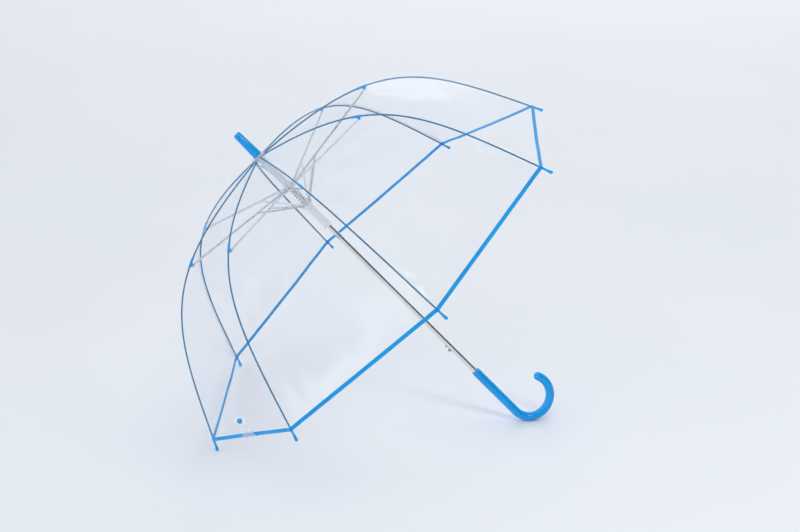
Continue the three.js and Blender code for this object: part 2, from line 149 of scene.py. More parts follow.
def noise_node(tree, scale, detail=2.0, stretch=(1, 1, 1)):
    place = tree.nodes.new("ShaderNodeTexCoord")
    mapping = tree.nodes.new("ShaderNodeMapping")
    mapping.inputs["Scale"].default_value = stretch
    texture = tree.nodes.new("ShaderNodeTexNoise")
    texture.inputs["Scale"].default_value = scale
    texture.inputs["Detail"].default_value = detail
    tree.links.new(place.outputs["Object"], mapping.inputs["Vector"])
    tree.links.new(mapping.outputs["Vector"], texture.inputs["Vector"])
    return texture


def ramp(tree, source, low, high, start=0.35, end=0.65):
    node = tree.nodes.new("ShaderNodeValToRGB")
    node.color_ramp.elements[0].position = start
    node.color_ramp.elements[1].position = end
    node.color_ramp.elements[0].color = low
    node.color_ramp.elements[1].color = high
    tree.links.new(source, node.inputs["Fac"])
    return node


def grey(value):
    return (value, value, value, 1)


def add_bump(tree, shader, source, strength, distance):
    bump = tree.nodes.new("ShaderNodeBump")
    bump.inputs["Strength"].default_value = strength
    bump.inputs["Distance"].default_value = distance
    tree.links.new(source, bump.inputs["Height"])
    tree.links.new(bump.outputs["Normal"], shader.inputs["Normal"])
    return bump


def moulded(name, low, high, rough, specular=0.26):
    """Coloured plastic or paint: a slow drift of tone, uneven gloss and a fine orange peel."""
    made, tree, shader = new_material(name)
    drift = noise_node(tree, 14)
    tint = ramp(tree, drift.outputs["Fac"], low, high)
    tree.links.new(tint.outputs["Color"], shader.inputs["Base Color"])
    haze = noise_node(tree, 60, 4)
    gloss = ramp(tree, haze.outputs["Fac"], grey(rough[0]), grey(rough[1]))
    tree.links.new(gloss.outputs["Color"], shader.inputs["Roughness"])
    shader.inputs["Specular IOR Level"].default_value = specular
    peel = noise_node(tree, 900, 1)
    add_bump(tree, shader, peel.outputs["Fac"], 0.06, 0.0002)
    return made


def binding_material():
    """A woven ribbon: fine ribs across, a slow change of dye and a soft sheen."""
    made = moulded("blue_binding_ribbon", (0.0, 0.33, 0.80, 1), (0.0, 0.38, 0.87, 1), (0.5, 0.68))
    tree = made.node_tree
    shader = tree.nodes["Principled BSDF"]
    weave = tree.nodes.new("ShaderNodeTexWave")
    weave.inputs["Scale"].default_value = 420
    weave.inputs["Distortion"].default_value = 0.6
    weave.bands_direction = "DIAGONAL"
    place = tree.nodes.new("ShaderNodeTexCoord")
    tree.links.new(place.outputs["Object"], weave.inputs["Vector"])
    add_bump(tree, shader, weave.outputs["Fac"], 0.35, 0.0003)
    shader.inputs["Sheen Weight"].default_value = 0.1
    return made


def metal_material(name, low, high, rough, grain):
    made, tree, shader = new_material(name)
    shader.inputs["Metallic"].default_value = 1.0
    drift = noise_node(tree, grain, 4)
    tint = ramp(tree, drift.outputs["Fac"], low, high)
    tree.links.new(tint.outputs["Color"], shader.inputs["Base Color"])
    gloss = ramp(tree, drift.outputs["Fac"], grey(rough[0]), grey(rough[1]))
    tree.links.new(gloss.outputs["Color"], shader.inputs["Roughness"])
    add_bump(tree, shader, drift.outputs["Fac"], 0.01, 0.0001)
    return made


def milky_material():
    """Frosted plastic that lets light through: the hub, the runner and the crown."""
    made, tree, shader = new_material("milky_plastic")
    cloud = noise_node(tree, 90, 3)
    tint = ramp(tree, cloud.outputs["Fac"], (0.88, 0.92, 0.97, 1), (0.95, 0.97, 1.0, 1))
    tree.links.new(tint.outputs["Color"], shader.inputs["Base Color"])
    gloss = ramp(tree, cloud.outputs["Fac"], grey(0.24), grey(0.4))
    tree.links.new(gloss.outputs["Color"], shader.inputs["Roughness"])
    shader.inputs["Subsurface Weight"].default_value = 0.25
    shader.inputs["Subsurface Radius"].default_value = (0.003, 0.003, 0.003)
    shader.inputs["Alpha"].default_value = 0.78
    add_bump(tree, shader, cloud.outputs["Fac"], 0.1, 0.0003)
    return made


def film_material(name="clear_film", haze=0.025, ripple=0.08):
    """Clear vinyl: see-through, mirror-bright at grazing angles, faintly hazy, with slack ripples."""
    made = bpy.data.materials.new(name)
    made.use_nodes = True
    tree = made.node_tree
    tree.nodes.clear()
    result = tree.nodes.new("ShaderNodeOutputMaterial")
    clear = tree.nodes.new("ShaderNodeBsdfTransparent")
    clear.inputs["Color"].default_value = (0.988, 0.992, 0.998, 1)
    shine = tree.nodes.new("ShaderNodeBsdfPrincipled")
    shine.inputs["Base Color"].default_value = (0.95, 0.975, 1.0, 1)
    shine.inputs["Metallic"].default_value = 0.7
    smear = noise_node(tree, 7, 5)
    gloss = ramp(tree, smear.outputs["Fac"], grey(0.12), grey(0.2))
    tree.links.new(gloss.outputs["Color"], shine.inputs["Roughness"])
    ripples = noise_node(tree, 9, 3)
    creases = noise_node(tree, 34, 2, (1, 1, 3))
    total = tree.nodes.new("ShaderNodeMath")
    total.operation = "MULTIPLY_ADD"
    total.inputs[1].default_value = 0.3
    tree.links.new(creases.outputs["Fac"], total.inputs[0])
    tree.links.new(ripples.outputs["Fac"], total.inputs[2])
    bump = add_bump(tree, shine, total.outputs["Value"], ripple, 0.006)
    edge = tree.nodes.new("ShaderNodeFresnel")
    edge.inputs["IOR"].default_value = 1.42
    tree.links.new(bump.outputs["Normal"], edge.inputs["Normal"])
    share = tree.nodes.new("ShaderNodeMapRange")
    share.inputs["To Min"].default_value = haze
    share.inputs["To Max"].default_value = 0.36
    tree.links.new(edge.outputs["Fac"], share.inputs["Value"])
    mix = tree.nodes.new("ShaderNodeMixShader")
    tree.links.new(share.outputs["Result"], mix.inputs["Fac"])
    tree.links.new(clear.outputs["BSDF"], mix.inputs[1])
    tree.links.new(shine.outputs["BSDF"], mix.inputs[2])
    tree.links.new(mix.outputs["Shader"], result.inputs["Surface"])
    return made


PLASTIC = moulded("blue_gloss_plastic", (0.0, 0.33, 0.82, 1), (0.0, 0.375, 0.88, 1), (0.05, 0.09), 0.45)
RIB_BLUE = moulded("blue_rib_coating", (0.0, 0.17, 0.36, 1), (0.0, 0.21, 0.44, 1), (0.3, 0.42))
BINDING = binding_material()
THREAD = moulded("blue_thread", (0.0, 0.2, 0.62, 1), (0.0, 0.27, 0.75, 1), (0.6, 0.75))
CHROME = metal_material("bright_steel", grey(0.76), grey(0.82), (0.06, 0.09), 40)
ZINC = metal_material("zinc_plated_steel", (0.72, 0.77, 0.81, 1), (0.86, 0.9, 0.93, 1), (0.26, 0.4), 160)
DARK_STEEL = metal_material("oiled_steel", (0.28, 0.29, 0.3, 1), (0.4, 0.41, 0.42, 1), (0.3, 0.45), 160)
MILKY = milky_material()
FILM = film_material()
STRAP = film_material("clear_strap", haze=0.42, ripple=0.2)


# ---- mesh tools ----
def placed(name, data):
    made = bpy.data.objects.new(name, data)
    bpy.context.scene.collection.objects.link(made)
    return made


def finish_piece(name, mesh, material, body, replaces=(), sharp=32):
    mesh.materials.clear()
    mesh.materials.append(material)
    mesh.shade_smooth()
    mesh.set_sharp_from_angle(angle=math.radians(sharp))
    piece = placed(name, mesh)
    if body:
        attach(piece, body)
    if replaces:
        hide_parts(*replaces)
    return piece


def sheet_mesh(name, vertices, faces):
    mesh = bpy.data.meshes.new(name)
    mesh.from_pydata([tuple(v) for v in vertices], [], faces)
    mesh.update()
    return mesh


def mesh_of(name, vertices, faces):
    """A mesh with its faces all turned outward."""
    mesh = sheet_mesh(name, vertices, faces)
    bm = bmesh.new()
    bm.from_mesh(mesh)
    bmesh.ops.recalc_face_normals(bm, faces=bm.faces)
    bm.to_mesh(mesh)
    bm.free()
    mesh.update()
    return mesh


def ring_faces(count, size, closed=False):
    """Quads between count rings of size points; closed also joins the last ring to the first."""
    faces = []
    for i in range(count if closed else count - 1):
        a, b = i * size, (i + 1) % count * size
        for j in range(size):
            n = (j + 1) % size
            faces.append((a + j, a + n, b + n, b + j))
    return faces


def end_caps(count, size):
    return [tuple(range(size)), tuple(range((count - 1) * size, count * size))]


def solid_of(name, vertices, count, size):
    """A closed mesh through count rings of size points."""
    return mesh_of(name, vertices, ring_faces(count, size) + end_caps(count, size))


def arc(x, y, radius, start, turn, steps):
    """Points of an arc about (x, y), from the angle start through turn."""
    angles = [start + turn * i / steps for i in range(steps + 1)]
    return [(x + radius * math.cos(a), y + radius * math.sin(a)) for a in angles]


def grid_faces(rows, columns):
    wide = columns + 1
    corners = [i * wide + j for i in range(rows) for j in range(columns)]
    return [(a, a + 1, a + wide + 1, a + wide) for a in corners]


def sweep(name, points, section, closed=False):
    """A section of (across, up) offsets in metres, given for each point, carried along the points."""
    count = len(points)
    tangents = []
    for i in range(count):
        before = points[(i - 1) % count if closed else max(i - 1, 0)]
        after = points[(i + 1) % count if closed else min(i + 1, count - 1)]
        tangents.append((after - before).normalized())
    side = tangents[0].orthogonal().normalized()
    vertices = []
    for i in range(count):
        if i:
            side = tangents[i - 1].rotation_difference(tangents[i]) @ side
        side = (side - tangents[i] * side.dot(tangents[i])).normalized()
        up = tangents[i].cross(side)
        for across, rise in section(i):
            vertices.append(points[i] + side * across + up * rise)
    ring = len(vertices) // count
    faces = ring_faces(count, ring, closed)
    if not closed:
        faces += end_caps(count, ring)
    return mesh_of(name, vertices, faces)


def circle(radius, sides):
    return [
        (radius * math.cos(2 * math.pi * j / sides), radius * math.sin(2 * math.pi * j / sides))
        for j in range(sides)
    ]


def tube(name, points, radius, sides=16, closed=False):
    """A round tube; radius in metres is a number or a function of the point's index."""
    measure = radius if callable(radius) else (lambda i: radius)
    return sweep(name, points, lambda i: circle(measure(i), sides), closed)


def spindle(name, base, along, profile, sides):
    """A turned bar along a direction. profile is (place, radius) in mm."""
    points = [base + along * place * MM for place, _ in profile]
    return tube(name, points, lambda i: profile[i][1] * MM, sides)


def turned(name, profile, segments=64):
    """A turned solid about the shaft. profile is (radius, depth) in mm, closed on itself or on the axis."""
    vertices, faces, rings = [], [], []
    for radius, depth in profile:
        if radius < 1e-6:
            rings.append([len(vertices)] * segments)
            vertices.append(crown + down * depth * MM)
            continue
        rings.append(list(range(len(vertices), len(vertices) + segments)))
        for j in range(segments):
            vertices.append(at(2 * math.pi * j / segments, radius, depth))
    closes = profile[0][0] > 1e-6
    spans = len(rings) if closes else len(rings) - 1
    for i in range(spans):
        a, b = rings[i], rings[(i + 1) % len(rings)]
        for j in range(segments):
            n = (j + 1) % segments
            face = list(dict.fromkeys((a[j], a[n], b[n], b[j])))
            if len(face) > 2:
                faces.append(tuple(face))
    return mesh_of(name, vertices, faces)


def softened(profile, reach=0.5):
    """Cuts each corner of a profile with a small arc."""
    result = []
    count = len(profile)
    for i in range(count):
        p = Vector(profile[i])
        before = Vector(profile[i - 1]) - p
        after = Vector(profile[(i + 1) % count]) - p
        if p.x < 1e-6 or min(before.length, after.length) < 1e-6:
            result.append(tuple(p))
            continue
        cut = min(reach, before.length * 0.45, after.length * 0.45)
        a, b = p + before.normalized() * cut, p + after.normalized() * cut
        for step in range(4):
            t = step / 3
            q = a * (1 - t) ** 2 + p * 2 * t * (1 - t) + b * t * t
            result.append((q.x, q.y))
    return result


def plate(name, outline, origin, along, up, thickness, bevel=0.0):
    """A flat plate: an outline of (along, up) in mm from origin, thickness in mm about its middle."""
    across = along.cross(up).normalized()
    vertices = []
    for level in (-0.5, 0.5):
        for x, y in outline:
            vertices.append(origin + (along * x + up * y + across * level * thickness) * MM)
    n = len(outline)
    faces = [tuple(range(n)), tuple(range(n, 2 * n))]
    faces += [(i, (i + 1) % n, n + (i + 1) % n, n + i) for i in range(n)]
    mesh = mesh_of(name, vertices, faces)
    if bevel:
        bm = bmesh.new()
        bm.from_mesh(mesh)
        bmesh.ops.bevel(
            bm, geom=bm.edges, offset=bevel * MM, segments=2, profile=0.6, affect="EDGES", clamp_overlap=True
        )
        bm.to_mesh(mesh)
        bm.free()
    return mesh


def merged(name, *meshes):
    bm = bmesh.new()
    for mesh in meshes:
        bm.from_mesh(mesh)
    result = bpy.data.meshes.new(name)
    bm.to_mesh(result)
    bm.free()
    return result


def cut_mesh(name, mesh, tools):
    """mesh with each tool mesh taken away."""
    body = placed(name, mesh)
    cutters = []
    for tool in tools:
        cutter = placed(name + "_tool", tool)
        modifier = body.modifiers.new("cut", "BOOLEAN")
        modifier.object = cutter
        modifier.operation = "DIFFERENCE"
        modifier.solver = "EXACT"
        cutters.append(cutter)
    view = bpy.context.evaluated_depsgraph_get()
    result = bpy.data.meshes.new_from_object(body.evaluated_get(view))
    for o in [body, *cutters]:
        bpy.data.objects.remove(o)
    return result


def box_mesh(name, azimuth, origin, sizes):
    """A box with its sides outward, round and along the shaft. sizes is in that order, in mm."""
    axes = (out(azimuth), out(azimuth + math.pi / 2), down)
    vertices = []
    for i in range(8):
        corner = [sizes[a] * MM * (0.5 if (i >> a) & 1 else -0.5) for a in range(3)]
        vertices.append(origin + sum((axes[a] * corner[a] for a in range(3)), Vector()))
    faces = [(0, 1, 3, 2), (4, 6, 7, 5), (0, 4, 5, 1), (2, 3, 7, 6), (0, 2, 6, 4), (1, 5, 7, 3)]
    return mesh_of(name, vertices, faces)


# ---- canopy film: each gore is one sheet from rib to rib, parted at the clips, where it folds ----
FILM_STAND = 1.65                 # film outside the rib line
CLIP_STAND = 0.9                  # extra over the clip sleeves
SAG = 5.0                         # how far a gore's middle pulls in
TOP_START = 12.0                  # radius where the gores leave the crown rosette
OVER_CROWN = CROWN_TOP - 0.25
LEAVE_AT = 0.03                   # rib line place where the film reaches the ribs
FILM_END = 0.995                  # rib line place of the film's edge, inside the binding
CLIP_REACH = 487.0                # length that a change of 1 in t spans at the clips
RIM_REACH = 710.0                 # the same near the rim


def film_line(t):
    """(radius, depth) of the film over a rib; t from 0 at the crown disc to 1 at the rim."""
    point, tangent = rib_point(t), rib_tangent(t)
    line = (point[0] + FILM_STAND * tangent[1], point[1] - FILM_STAND * tangent[0])
    if t >= LEAVE_AT:
        return line
    first = film_line(LEAVE_AT)
    share = t / LEAVE_AT
    radius = TOP_START + (first[0] - TOP_START) * share
    ease = share * share * (3 - 2 * share)
    return radius, OVER_CROWN + (first[1] - OVER_CROWN) * (0.55 * share + 0.45 * ease)


CORNER_PULLS = 3                  # tension folds that fan out of each rim corner
SLACK_MARKS = 9                   # short creases over the dome's shoulder


def crease_list(k):
    """Sharp little folds of gore k. A pull leans in from its rib; a mark lies anywhere."""
    rng = random.Random(40 + k)
    pulls = []
    for side in (-1, 1):
        for n in range(CORNER_PULLS):
            lean = math.tan(math.radians(3.0 + 4.5 * n + rng.uniform(-1.2, 1.2)))
            pulls.append((side, lean, rng.uniform(110, 220), rng.uniform(0.5, 1.0), rng.uniform(2.0, 3.4)))
    marks = []
    for _ in range(SLACK_MARKS):
        t = rng.uniform(0.12, 0.62)
        angle = rng.uniform(-0.7, 0.7)
        marks.append((
            t, rng.uniform(-0.7, 0.7) * rib_point(t)[0] * SIN_HALF, math.cos(angle), math.sin(angle),
            rng.uniform(9, 30), rng.uniform(0.35, 0.8), rng.uniform(1.8, 3.0),
        ))
    return pulls, marks


CREASES = {k: crease_list(k) for k in range(1, RIBS + 1)}
MARK_REACH = 500.0                # length that a change of 1 in t spans over the shoulder


def crease_height(k, t, v):
    pulls, marks = CREASES[k]
    half_width = rib_point(min(t, 1.0))[0] * SIN_HALF
    total = 0.0
    rise = (1.0 - t) * RIM_REACH
    if rise < 240:
        for side, lean, reach, height, width in pulls:
            inside = (1 - side * v) * half_width
            gap = inside - rise * lean - 2.0
            if abs(gap) < 3 * width:
                fade = min(1.0, max(0.0, rise - 4) / 22) * max(0.0, 1 - (rise / reach) ** 2)
                total += height * fade * math.exp(-((gap / width) ** 2))
    across = v * half_width
    for t0, a0, cos, sin, reach, height, width in marks:
        x, y = across - a0, (t - t0) * MARK_REACH
        along, aside = x * sin + y * cos, x * cos - y * sin + 0.004 * (x * sin + y * cos) ** 2
        if abs(along) < 2 * reach and abs(aside) < 3 * width:
            total += height * math.exp(-((along / reach) ** 2) * 2 - (aside / width) ** 2)
    return total


def film_point(k, t, v):
    """A point of gore k; v runs from -1 on rib k to 1 on the next rib."""
    radius, depth = film_line(t)
    ahead, behind = film_line(min(t + 0.004, 1.0)), film_line(max(t - 0.004, 0.0))
    slope = Vector(((ahead[0] - behind[0]) * COS_HALF, ahead[1] - behind[1])).normalized()
    inward = -SAG * (1 - v * v) * math.sin(math.pi * min(1.0, t * 0.92)) ** 0.8
    place = Vector((t * 9.0, v * 2.2, k * 7.3))
    free = (1 - v ** 4) * min(1.0, t * 6)
    ripple = 1.1 * noise.noise(place) * free
    # tension folds run down from the crown and up from the rim corners
    fan = math.sin(v * 23.0 + 2.0 * noise.noise(Vector((v * 3, t * 2, k * 3.1))))
    near_crown = math.exp(-(((t - 0.13) / 0.12) ** 2))
    near_rim = math.exp(-(((t - 1.0) / 0.13) ** 2)) * abs(v) ** 3
    folds = fan * (0.35 * near_crown + 0.5 * near_rim) * (1 - v ** 8)
    over_clip = CLIP_STAND * math.exp(-(((t - CLIP_AT) / 0.03) ** 2)) * v ** 12
    shift = inward + ripple + folds + over_clip + crease_height(k, t, v) * (1 - v ** 16)
    x = radius * COS_HALF + shift * slope.y
    z = depth - shift * slope.x
    return at(gore_azimuth(k), x, z, radius * SIN_HALF * v)


def film_piece(name, k, start, end, rows, columns):
    vertices, normals = [], []
    step = 0.002
    for i in range(rows + 1):
        t = start + (end - start) * i / rows
        for j in range(columns + 1):
            v = -1 + 2 * j / columns
            vertices.append(film_point(k, t, v))
            t0, t1 = max(t - step, 0.0), min(t + step, 1.0)
            v0, v1 = max(v - 0.01, -1.0), min(v + 0.01, 1.0)
            along = film_point(k, t1, v) - film_point(k, t0, v)
            across = film_point(k, t, v1) - film_point(k, t, v0)
            normals.append(across.cross(along).normalized())
    mesh = sheet_mesh(name, vertices, grid_faces(rows, columns))
    outward = out(gore_azimuth(k)) - down * 0.3
    if mesh.polygons[len(mesh.polygons) // 2].normal.dot(outward) < 0:
        mesh.flip_normals()
    if normals[len(normals) // 2].dot(outward) < 0:
        normals = [-n for n in normals]
    mesh.materials.append(FILM)
    mesh.shade_smooth()
    mesh.normals_split_custom_set_from_vertices([tuple(n) for n in normals])
    return placed(name, mesh)


def pleat(piece):
    """Gives a gore's piece its own copy of its mesh."""
    radius, depth = film_line(CLIP_AT)
    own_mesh(piece)


def pattern_area(width_at, length, steps=200):
    """Area of a flat cut whose width, in mm, is given at each distance along it, in mm."""
    step = length / steps
    return sum(width_at((n + 0.5) * step) for n in range(steps)) * step * MM * MM


TOP_ROWS, SIDE_ROWS, COLUMNS = 36, 64, 56
for k in range(1, RIBS + 1):
    top = film_piece(f"film_top_{k}", k, 0.0, CLIP_AT, TOP_ROWS, COLUMNS)
    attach(top, f"gore_{k}")
    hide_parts(f"canopy_top_{k}")
    pleat(top)
    side = film_piece(f"film_side_{k}", k, CLIP_AT, FILM_END, SIDE_ROWS, COLUMNS)
    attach(side, f"gore_side_{k}")
    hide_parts(f"canopy_side_{k}")
    pleat(side)


def rosette():
    """The middle of the canopy, clamped between the crown and its cap; its edge is eight-sided."""
    segments = 64
    radii = (5.6, 8.0, 10.2, TOP_START + 0.6)
    vertices = []
    for radius in radii:
        for j in range(segments):
            angle = 2 * math.pi * j / segments
            flat = COS_HALF / math.cos(angle % STEP - HALF) if radius == radii[-1] else 1.0
            vertices.append(at(angle, radius * flat, OVER_CROWN))
    return mesh_of("film_rosette", vertices, ring_faces(len(radii), segments))


finish_piece("film_rosette", rosette(), FILM, "stick")

# ---- rim binding: a ribbon folded over the film's edge, with its row of stitches ----
BINDING_WIDTH = 7.0
BINDING_THICK = 0.9


def rim_frame(k, v, rise):
    """A point on gore k near its rim, rise mm up from the edge, and the film's outward normal there."""
    t = 1.0 - rise / RIM_REACH
    point = film_point(k, t, v)
    along = film_point(k, t, v) - film_point(k, t - 0.01, v)
    across = film_point(k, t, min(v + 0.01, 1)) - film_point(k, t, max(v - 0.01, -1))
    normal = across.cross(along).normalized()
    if normal.dot(out(gore_azimuth(k))) < 0:
        normal = -normal
    return point, along.normalized(), normal


def binding_piece(k):
    columns = 60
    vertices = []
    section = []
    half_width, half_thick = BINDING_WIDTH / 2, BINDING_THICK / 2
    for x, y in ((-1, -0.35), (-0.96, -0.8), (-0.5, -1), (0.5, -1), (0.94, -0.8), (1, 0),
                 (0.94, 0.8), (0.5, 1), (-0.5, 1), (-0.96, 0.8), (-1, 0.35)):
        section.append((x * half_width, y * half_thick))
    for j in range(columns + 1):
        v = -1 + 2 * j / columns
        point, along, normal = rim_frame(k, v, half_width)
        pull = 0.25 * noise.noise(Vector((v * 9, k * 5.0, 0)))
        for x, y in section:
            vertices.append(point + (along * (x + pull) + normal * y) * MM)
    return solid_of(f"rim_binding_{k}", vertices, columns + 1, len(section))


def stitches(k):
    """Short raised stitches on both faces of the binding, 1.6 mm from its upper edge."""
    vertices, faces = [], []
    count = 92
    length, width, height = 2.2, 0.38, 0.16
    for face_side in (-1, 1):
        for j in range(count):
            v = -0.985 + 1.97 * (j + 0.5) / count
            point, along, normal = rim_frame(k, v, BINDING_WIDTH - 1.6)
            across = normal.cross(along).normalized()
            middle = point + normal * face_side * BINDING_THICK * 0.46 * MM
            base = len(vertices)
            for x, y, z in ((-1, -1, 0), (1, -1, 0), (1, 1, 0), (-1, 1, 0), (-0.6, 0, 1), (0.6, 0, 1)):
                vertices.append(
                    middle + across * x * length / 2 * MM + along * y * width / 2 * MM
                    + normal * face_side * (z * height + 0.02) * MM
                )
            faces += [
                (base, base + 1, base + 5, base + 4), (base + 2, base + 3, base + 4, base + 5),
                (base, base + 4, base + 3), (base + 1, base + 2, base + 5),
                (base, base + 3, base + 2, base + 1),
            ]
    return mesh_of(f"rim_stitches_{k}", vertices, faces)


for k in range(1, RIBS + 1):
    ribbon = finish_piece(f"rim_binding_{k}", binding_piece(k), BINDING, f"gore_side_{k}")
    pleat(ribbon)
    sewing = finish_piece(f"rim_stitches_{k}", stitches(k), THREAD, f"gore_side_{k}")
    pleat(sewing)


# ---- ribs: one springy rod each ----
RIB_RADIUS = 1.4


def rib_axes(azimuth, tangent):
    """The directions along a rib, and square to it, inward."""
    along = out(azimuth) * tangent[0] + down * tangent[1]
    inward = -out(azimuth) * tangent[1] + down * tangent[0]
    return along, inward


def rib_rod(k):
    azimuth = rib_azimuth(k)
    steps = 110
    points = []
    for i in range(steps + 1):
        t = 0.004 + 0.996 * i / steps
        radius, depth = rib_point(t)
        points.append(at(azimuth, radius, depth))
    return tube(f"rib_rod_{k}", points, RIB_RADIUS * MM, 14)


def rib_eye(k):
    """The flattened, drilled end that hinges on the crown's wire."""
    azimuth = rib_azimuth(k)
    length = 10.0
    outline = arc(0, 0, 1.8, math.pi / 2, math.pi, 12) + [(length, -1.2), (length, 1.2)]
    along, up = rib_axes(azimuth, rib_tangent(0.01))
    return plate(f"rib_eye_{k}", outline, at(azimuth, RIB_LINE[0][0], 0), along, up, 2.0, 0.25)


def clip_mesh(k):
    """A moulded sleeve on the rib, with a tab that carries the stretcher's rivet."""
    azimuth = rib_azimuth(k)
    along, drop = rib_axes(azimuth, CLIP_TANGENT)
    points, radii = [], []
    for place, radius in ((-15, 1.5), (-14.6, 1.9), (-13.8, 2.1), (-8, 2.15), (-7.6, 2.35), (-6.4, 2.35),
                          (-6, 2.15), (2, 2.2), (5, 2.15), (6.2, 1.95), (6.6, 1.5)):
        t = CLIP_AT + place / CLIP_REACH
        radius_mm, depth = rib_point(t)
        points.append(at(azimuth, radius_mm, depth))
        radii.append(radius * MM)
    sleeve = tube(f"clip_sleeve_{k}", points, lambda i: radii[i], 20)
    outline = [(-5.5, 0.8)] + arc(0, CLIP_DROP, 2.6, math.pi, -math.pi, 14) + [(4.6, 0.8)]
    origin = at(azimuth, *CLIP)
    tab = plate(f"clip_tab_{k}", outline, origin, along, drop, 1.9, 0.3)
    return merged(f"rib_clip_{k}", sleeve, tab)


def tip_mesh(k):
    """The moulded end: a collar on the rod, a tapering neck and a rounded button."""
    azimuth = rib_azimuth(k)
    along, _ = rib_axes(azimuth, rib_tangent(1.0))
    base = at(azimuth, *rib_point(1.0))
    profile = [(-6, 1.45), (-5.8, 1.9), (-5.2, 2.05), (-1.5, 2.1), (-1.1, 2.45), (0.2, 2.5), (0.6, 2.1),
               (3, 1.95), (8, 2.15), (12, 2.55), (14.2, 2.9), (15.6, 3.0), (17, 2.85), (18.2, 2.2),
               (18.8, 1.2), (19, 0.5)]
    return spindle(f"rib_tip_{k}", base, along, profile, 24)


def tip_tie(k):
    """The thread loops that sew the binding to the tip."""
    azimuth = rib_azimuth(k)
    along, inward = rib_axes(azimuth, rib_tangent(1.0))
    normal = -inward
    across = along.cross(normal)
    loops = []
    for n in range(3):
        base = at(azimuth, *rib_point(1.0)) + along * (-2.6 - n * 0.55) * MM
        ring = [base + (across * 2.5 * x + normal * (2.6 * y + 0.2)) * MM for x, y in circle(1, 20)]
        loops.append(tube(f"tie_{k}_{n}", ring, 0.22 * MM, 6, closed=True))
    return merged(f"tip_thread_{k}", *loops)


for k in range(1, RIBS + 1):
    azimuth = rib_azimuth(k)
    rod = finish_piece(f"rib_rod_{k}", rib_rod(k), RIB_BLUE, None,
                       (f"rib_upper_{k}", f"rib_lower_{k}"))
    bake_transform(rod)
    finish_piece(f"rib_eye_{k}", rib_eye(k), ZINC, f"rib_{k}")
    finish_piece(f"rib_clip_{k}", clip_mesh(k), PLASTIC, f"rib_{k}")
    finish_piece(f"rib_tip_{k}", tip_mesh(k), PLASTIC, f"rib_end_{k}")
    finish_piece(f"tip_thread_{k}", tip_tie(k), THREAD, f"rib_end_{k}")


# ---- stretchers and struts: folded steel channels with flattened ends and rivets ----
def channel_bar(name, azimuth, start, end, side, width, depth, open_side):
    """A U channel from start to end in a rib's plane; open_side is 1 where it opens away from the crown."""
    a, b = at(azimuth, *start, side), at(azimuth, *end, side)
    along = (b - a).normalized()
    across = out(azimuth + math.pi / 2)
    up = across.cross(along).normalized() * open_side
    length = (b - a).length / MM
    wall = 0.45
    half = width / 2
    stations = [0.0, 5.5, 9.5] + [length * share for share in (0.25, 0.5, 0.75)]
    stations += [length - 9.5, length - 5.5, length]
    vertices = []
    for station in stations:
        near = min(station, length - station)
        squeeze = 0.55 if near < 6 else 1.0
        high = depth / 2 * (1.0 if near > 6 else 0.86)
        h = half * squeeze
        w = wall if near > 6 else h * 0.9
        section = [(-h, -high), (h, -high), (h, high), (h - w, high), (h - w, -high + w * 0.9),
                   (-h + w, -high + w * 0.9), (-h + w, high), (-h, high)]
        for x, y in section:
            vertices.append(a + (along * station + across * x + up * y) * MM)
    bar = solid_of(name, vertices, len(stations), len(section))
    eyes = []
    for centre, sign in ((a, -1), (b, 1)):
        outline = [(sign * x, y) for x, y in arc(0, 0, depth * 0.56, -math.pi / 2, math.pi, 14)]
        outline += [(-sign * 5.0, depth * 0.4), (-sign * 5.0, -depth * 0.4)]
        if sign < 0:
            outline.reverse()
        eyes.append(plate(name + "_eye", outline, centre, along, up, width * 0.56, 0.12))
    return merged(name, bar, *eyes)


def rivet(name, azimuth, centre, side_from, side_to, radius):
    """A rivet through a joint, with a domed head at each end."""
    across = out(azimuth + math.pi / 2)
    base = at(azimuth, *centre, 0)
    profile = [(side_from - 0.75, 0.25), (side_from - 0.7, radius * 0.9), (side_from - 0.45, radius * 1.5),
               (side_from - 0.05, radius * 1.75), (side_from, radius * 1.75), (side_from + 0.02, radius),
               (side_to - 0.02, radius), (side_to, radius * 1.75), (side_to + 0.05, radius * 1.75),
               (side_to + 0.45, radius * 1.5), (side_to + 0.7, radius * 0.9), (side_to + 0.75, 0.25)]
    return spindle(name, base, across, profile, 16)


for k in range(1, RIBS + 1):
    azimuth = rib_azimuth(k)
    body = f"stretcher_bar_{k}"
    bar = channel_bar(body, azimuth, HUB_PIVOT, CLIP_PIVOT, STRETCHER_SIDE, 2.6, 3.2, 1)
    finish_piece(f"stretcher_channel_{k}", bar, ZINC, body, (f"stretcher_{k}",))
    bar = channel_bar(f"strut_bar_{k}", azimuth, RUNNER_PIVOT, STRUT_PIVOT, STRUT_SIDE, 2.1, 3.0, -1)
    finish_piece(f"strut_channel_{k}", bar, ZINC, f"strut_bar_{k}", (f"strut_{k}",))
    pin = rivet(f"clip_rivet_{k}", azimuth, CLIP_PIVOT, -0.95, STRETCHER_SIDE - 0.7, 0.75)
    finish_piece(f"clip_rivet_{k}", pin, ZINC, f"rib_{k}")
    pin = rivet(f"strut_rivet_{k}", azimuth, STRUT_PIVOT, STRUT_SIDE - 0.6, STRETCHER_SIDE + 1.3, 0.7)
    finish_piece(f"strut_rivet_{k}", pin, ZINC, f"stretcher_bar_{k}")


# ---- crown, hub and runner: notched discs with a wire ring in their grooves ----
def groove(depth, half_height, radius, ring, width=0.8):
    floor = ring - width
    return [(radius, depth - half_height), (radius, depth - width), (floor, depth - width),
            (floor, depth + width), (radius, depth + width), (radius, depth + half_height)]


def slots(floor, width, side, top, bottom):
    tools = []
    reach = 12.0
    for k in range(1, RIBS + 1):
        azimuth = rib_azimuth(k)
        centre = at(azimuth, floor + reach / 2, (top + bottom) / 2, side)
        tools.append(box_mesh("slot", azimuth, centre, (reach, width, bottom - top)))
    return tools


